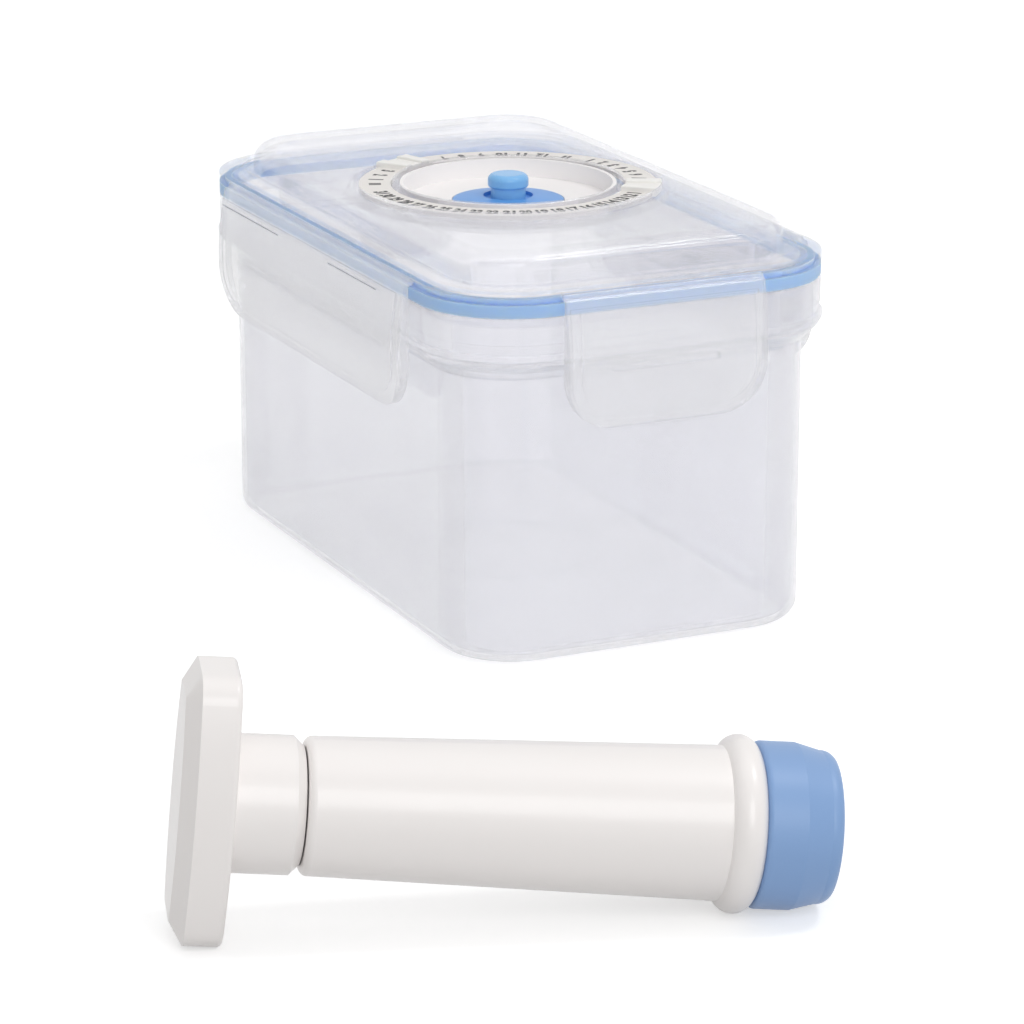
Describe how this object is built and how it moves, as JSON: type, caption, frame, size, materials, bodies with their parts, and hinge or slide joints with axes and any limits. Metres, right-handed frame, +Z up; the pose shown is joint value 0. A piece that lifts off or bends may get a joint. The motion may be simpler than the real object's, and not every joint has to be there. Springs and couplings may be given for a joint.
{
  "type": "vacuum seal canister",
  "caption": "Oblong translucent food canister with a gasketed lid, side latches, a date dial, a vacuum valve and a separate hand pump.",
  "frame": {"origin": "centre of the tub's base, on the table", "axes": "+Z up; +X across the short side; the short face seen in the picture faces -Y"},
  "size_m": [0.2832, 0.4293, 0.1256],
  "materials": {
    "translucent_plastic": "satin",
    "blue_silicone": "satin",
    "valve_silicone": "satin",
    "cream_plastic": "matte",
    "pointer_plastic": "satin",
    "white_plastic": "satin",
    "pump_blue": "satin",
    "grey_plastic": "matte",
    "black_rubber": "matte",
    "steel": "satin"
  },
  "bodies": {
    "tub": {"tub": "translucent_plastic"},
    "lid": {"lid": "translucent_plastic", "lid_gasket": "blue_silicone", "dial_ring": "cream_plastic", "bowl_lining": "cream_plastic"},
    "front_latch": {"front_latch": "translucent_plastic"},
    "back_latch": {"back_latch": "translucent_plastic"},
    "left_latch": {"left_latch": "translucent_plastic"},
    "right_latch": {"right_latch": "translucent_plastic"},
    "month_pointer": {"month_pointer": "pointer_plastic"},
    "day_pointer": {"day_pointer": "pointer_plastic"},
    "valve": {"valve_disc": "valve_silicone", "valve_button": "valve_silicone", "valve_clip": "pointer_plastic"},
    "pump": {"pump_barrel": "white_plastic", "rod_guide": "grey_plastic", "inlet_plate": "white_plastic", "inlet_flap": "black_rubber", "pump_nose": "pump_blue"},
    "plunger": {"pump_handle": "white_plastic", "piston_rod": "white_plastic", "piston_head": "grey_plastic", "piston_seal": "black_rubber", "piston_screw": "steel"}
  },
  "joints": [
    {"name": "lid_lift", "type": "slide", "parent": "tub", "child": "lid", "axis": [0, 0, 1], "range_m": [0, 0.1]},
    {"name": "front_latch_swing", "type": "hinge", "parent": "lid", "child": "front_latch", "pos_m": [0, -0.1073, 0.1133], "axis": [-1, 0, 0], "range_deg": [0, 95]},
    {"name": "back_latch_swing", "type": "hinge", "parent": "lid", "child": "back_latch", "pos_m": [0, 0.1073, 0.1133], "axis": [1, 0, 0], "range_deg": [0, 95]},
    {"name": "left_latch_swing", "type": "hinge", "parent": "lid", "child": "left_latch", "pos_m": [-0.0651, 0, 0.1133], "axis": [0, 1, 0], "range_deg": [0, 95]},
    {"name": "right_latch_swing", "type": "hinge", "parent": "lid", "child": "right_latch", "pos_m": [0.0651, 0, 0.1133], "axis": [0, -1, 0], "range_deg": [0, 95]},
    {"name": "month_pointer_slide", "type": "hinge", "parent": "lid", "child": "month_pointer", "pos_m": [0, 0, 0.1226], "axis": [0, 0, 1], "range_deg": [-67, 32]},
    {"name": "day_pointer_slide", "type": "hinge", "parent": "lid", "child": "day_pointer", "pos_m": [0, 0, 0.1226], "axis": [0, 0, 1], "range_deg": [-150, 61]},
    {"name": "valve_release", "type": "slide", "parent": "lid", "child": "valve", "axis": [0, 0, 1], "range_m": [0, 0.0025], "stiffness_N_per_m": 120, "springref_m": -0.001},
    {"name": "pump_lift", "type": "slide", "parent": "tub", "child": "pump", "axis": [0, 0, 1], "range_m": [0, 0.1]},
    {"name": "plunger_pull", "type": "slide", "parent": "pump", "child": "plunger", "axis": [-0.9517, 0.291, 0.0981], "range_m": [0, 0.08]}
  ]
}
